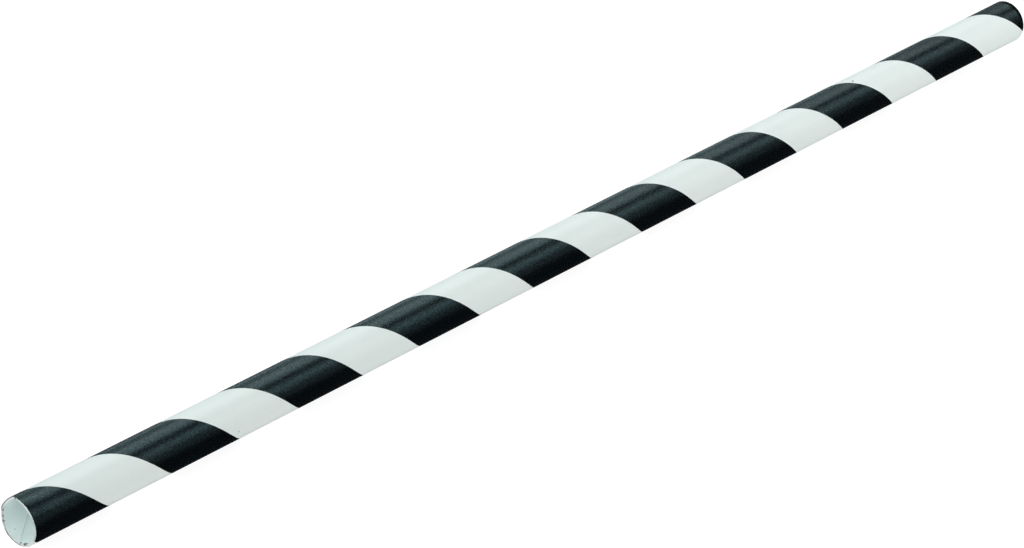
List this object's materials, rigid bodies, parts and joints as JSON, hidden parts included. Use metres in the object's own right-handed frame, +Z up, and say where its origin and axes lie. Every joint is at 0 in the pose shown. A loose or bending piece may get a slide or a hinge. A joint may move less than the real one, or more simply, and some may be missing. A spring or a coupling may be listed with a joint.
{
  "type": "paper drinking straw",
  "caption": "Straight spiral-wound paper drinking straw, white with a black band printed along the winding, open at both ends.",
  "frame": {"origin": "middle of the straw's length, on the plane it rests on, directly under the tube's axis", "axes": "+X along the tube, from the mouth shown nearest in the picture to the far end; +Z up"},
  "size_m": [0.197, 0.0062, 0.0062],
  "materials": {
    "white_paper": "smooth white drinking-straw paper, faintly cool, slight sheen",
    "black_print": "black ink printed on the outermost paper strip, satin, with fine paper mottle"
  },
  "bodies": {
    "root": {"paper_tube": "white_paper", "black_stripe": "black_print"}
  },
  "joints": []
}
